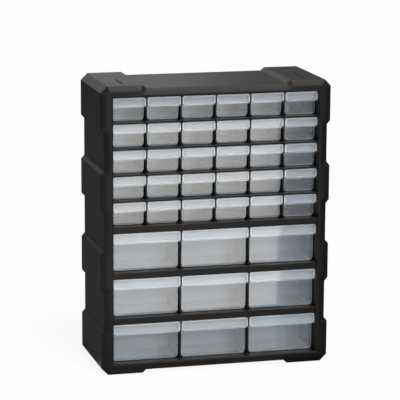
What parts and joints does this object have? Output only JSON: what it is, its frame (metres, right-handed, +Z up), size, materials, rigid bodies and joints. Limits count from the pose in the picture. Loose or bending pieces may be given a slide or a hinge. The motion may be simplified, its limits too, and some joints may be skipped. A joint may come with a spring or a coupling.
{
  "type": "mini drawer cabinet",
  "caption": "Upright desk or wall cabinet with a grid of frosted slide-out drawers for small parts, small drawers above larger ones, in a dark moulded case.",
  "frame": {"origin": "on the ground, under the middle of the case", "axes": "+Z up, -Y out of the drawer fronts, +X to the right seen from the front"},
  "size_m": [0.38, 0.155, 0.47],
  "materials": {
    "case_plastic": "fine moulded texture, satin",
    "drawer_plastic": "milky translucent, smooth"
  },
  "bodies": {
    "case": {"front_frame": "case_plastic", "outer_shell": "case_plastic", "cell_liner": "case_plastic", "back_panel": "case_plastic", "shelf_small_1": "case_plastic", "shelf_small_2": "case_plastic", "shelf_small_3": "case_plastic", "shelf_small_4": "case_plastic", "shelf_large_1": "case_plastic", "shelf_large_2": "case_plastic", "shelf_large_3": "case_plastic", "partitions_small_1": "case_plastic", "partitions_small_2": "case_plastic", "partitions_small_3": "case_plastic", "partitions_small_4": "case_plastic", "partitions_small_5": "case_plastic", "partitions_large_1": "case_plastic", "partitions_large_2": "case_plastic", "partitions_large_3": "case_plastic"},
    "drawer_small_1_1": {"drawer_small_1_1": "drawer_plastic"},
    "drawer_small_1_2": {"drawer_small_1_2": "drawer_plastic"},
    "drawer_small_1_3": {"drawer_small_1_3": "drawer_plastic"},
    "drawer_small_1_4": {"drawer_small_1_4": "drawer_plastic"},
    "drawer_small_1_5": {"drawer_small_1_5": "drawer_plastic"},
    "drawer_small_1_6": {"drawer_small_1_6": "drawer_plastic"},
    "drawer_small_2_1": {"drawer_small_2_1": "drawer_plastic"},
    "drawer_small_2_2": {"drawer_small_2_2": "drawer_plastic"},
    "drawer_small_2_3": {"drawer_small_2_3": "drawer_plastic"},
    "drawer_small_2_4": {"drawer_small_2_4": "drawer_plastic"},
    "drawer_small_2_5": {"drawer_small_2_5": "drawer_plastic"},
    "drawer_small_2_6": {"drawer_small_2_6": "drawer_plastic"},
    "drawer_small_3_1": {"drawer_small_3_1": "drawer_plastic"},
    "drawer_small_3_2": {"drawer_small_3_2": "drawer_plastic"},
    "drawer_small_3_3": {"drawer_small_3_3": "drawer_plastic"},
    "drawer_small_3_4": {"drawer_small_3_4": "drawer_plastic"},
    "drawer_small_3_5": {"drawer_small_3_5": "drawer_plastic"},
    "drawer_small_3_6": {"drawer_small_3_6": "drawer_plastic"},
    "drawer_small_4_1": {"drawer_small_4_1": "drawer_plastic"},
    "drawer_small_4_2": {"drawer_small_4_2": "drawer_plastic"},
    "drawer_small_4_3": {"drawer_small_4_3": "drawer_plastic"},
    "drawer_small_4_4": {"drawer_small_4_4": "drawer_plastic"},
    "drawer_small_4_5": {"drawer_small_4_5": "drawer_plastic"},
    "drawer_small_4_6": {"drawer_small_4_6": "drawer_plastic"},
    "drawer_small_5_1": {"drawer_small_5_1": "drawer_plastic"},
    "drawer_small_5_2": {"drawer_small_5_2": "drawer_plastic"},
    "drawer_small_5_3": {"drawer_small_5_3": "drawer_plastic"},
    "drawer_small_5_4": {"drawer_small_5_4": "drawer_plastic"},
    "drawer_small_5_5": {"drawer_small_5_5": "drawer_plastic"},
    "drawer_small_5_6": {"drawer_small_5_6": "drawer_plastic"},
    "drawer_large_1_1": {"drawer_large_1_1": "drawer_plastic"},
    "drawer_large_1_2": {"drawer_large_1_2": "drawer_plastic"},
    "drawer_large_1_3": {"drawer_large_1_3": "drawer_plastic"},
    "drawer_large_2_1": {"drawer_large_2_1": "drawer_plastic"},
    "drawer_large_2_2": {"drawer_large_2_2": "drawer_plastic"},
    "drawer_large_2_3": {"drawer_large_2_3": "drawer_plastic"},
    "drawer_large_3_1": {"drawer_large_3_1": "drawer_plastic"},
    "drawer_large_3_2": {"drawer_large_3_2": "drawer_plastic"},
    "drawer_large_3_3": {"drawer_large_3_3": "drawer_plastic"}
  },
  "joints": [
    {"name": "slide_small_1_1", "type": "slide", "parent": "case", "child": "drawer_small_1_1", "axis": [0, -1, 0], "range_m": [0, 0.1185]},
    {"name": "slide_small_1_2", "type": "slide", "parent": "case", "child": "drawer_small_1_2", "axis": [0, -1, 0], "range_m": [0, 0.1185]},
    {"name": "slide_small_1_3", "type": "slide", "parent": "case", "child": "drawer_small_1_3", "axis": [0, -1, 0], "range_m": [0, 0.1185]},
    {"name": "slide_small_1_4", "type": "slide", "parent": "case", "child": "drawer_small_1_4", "axis": [0, -1, 0], "range_m": [0, 0.1185]},
    {"name": "slide_small_1_5", "type": "slide", "parent": "case", "child": "drawer_small_1_5", "axis": [0, -1, 0], "range_m": [0, 0.1185]},
    {"name": "slide_small_1_6", "type": "slide", "parent": "case", "child": "drawer_small_1_6", "axis": [0, -1, 0], "range_m": [0, 0.1185]},
    {"name": "slide_small_2_1", "type": "slide", "parent": "case", "child": "drawer_small_2_1", "axis": [0, -1, 0], "range_m": [0, 0.1185]},
    {"name": "slide_small_2_2", "type": "slide", "parent": "case", "child": "drawer_small_2_2", "axis": [0, -1, 0], "range_m": [0, 0.1185]},
    {"name": "slide_small_2_3", "type": "slide", "parent": "case", "child": "drawer_small_2_3", "axis": [0, -1, 0], "range_m": [0, 0.1185]},
    {"name": "slide_small_2_4", "type": "slide", "parent": "case", "child": "drawer_small_2_4", "axis": [0, -1, 0], "range_m": [0, 0.1185]},
    {"name": "slide_small_2_5", "type": "slide", "parent": "case", "child": "drawer_small_2_5", "axis": [0, -1, 0], "range_m": [0, 0.1185]},
    {"name": "slide_small_2_6", "type": "slide", "parent": "case", "child": "drawer_small_2_6", "axis": [0, -1, 0], "range_m": [0, 0.1185]},
    {"name": "slide_small_3_1", "type": "slide", "parent": "case", "child": "drawer_small_3_1", "axis": [0, -1, 0], "range_m": [0, 0.1185]},
    {"name": "slide_small_3_2", "type": "slide", "parent": "case", "child": "drawer_small_3_2", "axis": [0, -1, 0], "range_m": [0, 0.1185]},
    {"name": "slide_small_3_3", "type": "slide", "parent": "case", "child": "drawer_small_3_3", "axis": [0, -1, 0], "range_m": [0, 0.1185]},
    {"name": "slide_small_3_4", "type": "slide", "parent": "case", "child": "drawer_small_3_4", "axis": [0, -1, 0], "range_m": [0, 0.1185]},
    {"name": "slide_small_3_5", "type": "slide", "parent": "case", "child": "drawer_small_3_5", "axis": [0, -1, 0], "range_m": [0, 0.1185]},
    {"name": "slide_small_3_6", "type": "slide", "parent": "case", "child": "drawer_small_3_6", "axis": [0, -1, 0], "range_m": [0, 0.1185]},
    {"name": "slide_small_4_1", "type": "slide", "parent": "case", "child": "drawer_small_4_1", "axis": [0, -1, 0], "range_m": [0, 0.1185]},
    {"name": "slide_small_4_2", "type": "slide", "parent": "case", "child": "drawer_small_4_2", "axis": [0, -1, 0], "range_m": [0, 0.1185]},
    {"name": "slide_small_4_3", "type": "slide", "parent": "case", "child": "drawer_small_4_3", "axis": [0, -1, 0], "range_m": [0, 0.1185]},
    {"name": "slide_small_4_4", "type": "slide", "parent": "case", "child": "drawer_small_4_4", "axis": [0, -1, 0], "range_m": [0, 0.1185]},
    {"name": "slide_small_4_5", "type": "slide", "parent": "case", "child": "drawer_small_4_5", "axis": [0, -1, 0], "range_m": [0, 0.1185]},
    {"name": "slide_small_4_6", "type": "slide", "parent": "case", "child": "drawer_small_4_6", "axis": [0, -1, 0], "range_m": [0, 0.1185]},
    {"name": "slide_small_5_1", "type": "slide", "parent": "case", "child": "drawer_small_5_1", "axis": [0, -1, 0], "range_m": [0, 0.1185]},
    {"name": "slide_small_5_2", "type": "slide", "parent": "case", "child": "drawer_small_5_2", "axis": [0, -1, 0], "range_m": [0, 0.1185]},
    {"name": "slide_small_5_3", "type": "slide", "parent": "case", "child": "drawer_small_5_3", "axis": [0, -1, 0], "range_m": [0, 0.1185]},
    {"name": "slide_small_5_4", "type": "slide", "parent": "case", "child": "drawer_small_5_4", "axis": [0, -1, 0], "range_m": [0, 0.1185]},
    {"name": "slide_small_5_5", "type": "slide", "parent": "case", "child": "drawer_small_5_5", "axis": [0, -1, 0], "range_m": [0, 0.1185]},
    {"name": "slide_small_5_6", "type": "slide", "parent": "case", "child": "drawer_small_5_6", "axis": [0, -1, 0], "range_m": [0, 0.1185]},
    {"name": "slide_large_1_1", "type": "slide", "parent": "case", "child": "drawer_large_1_1", "axis": [0, -1, 0], "range_m": [0, 0.1185]},
    {"name": "slide_large_1_2", "type": "slide", "parent": "case", "child": "drawer_large_1_2", "axis": [0, -1, 0], "range_m": [0, 0.1185]},
    {"name": "slide_large_1_3", "type": "slide", "parent": "case", "child": "drawer_large_1_3", "axis": [0, -1, 0], "range_m": [0, 0.1185]},
    {"name": "slide_large_2_1", "type": "slide", "parent": "case", "child": "drawer_large_2_1", "axis": [0, -1, 0], "range_m": [0, 0.1185]},
    {"name": "slide_large_2_2", "type": "slide", "parent": "case", "child": "drawer_large_2_2", "axis": [0, -1, 0], "range_m": [0, 0.1185]},
    {"name": "slide_large_2_3", "type": "slide", "parent": "case", "child": "drawer_large_2_3", "axis": [0, -1, 0], "range_m": [0, 0.1185]},
    {"name": "slide_large_3_1", "type": "slide", "parent": "case", "child": "drawer_large_3_1", "axis": [0, -1, 0], "range_m": [0, 0.1185]},
    {"name": "slide_large_3_2", "type": "slide", "parent": "case", "child": "drawer_large_3_2", "axis": [0, -1, 0], "range_m": [0, 0.1185]},
    {"name": "slide_large_3_3", "type": "slide", "parent": "case", "child": "drawer_large_3_3", "axis": [0, -1, 0], "range_m": [0, 0.1185]}
  ]
}
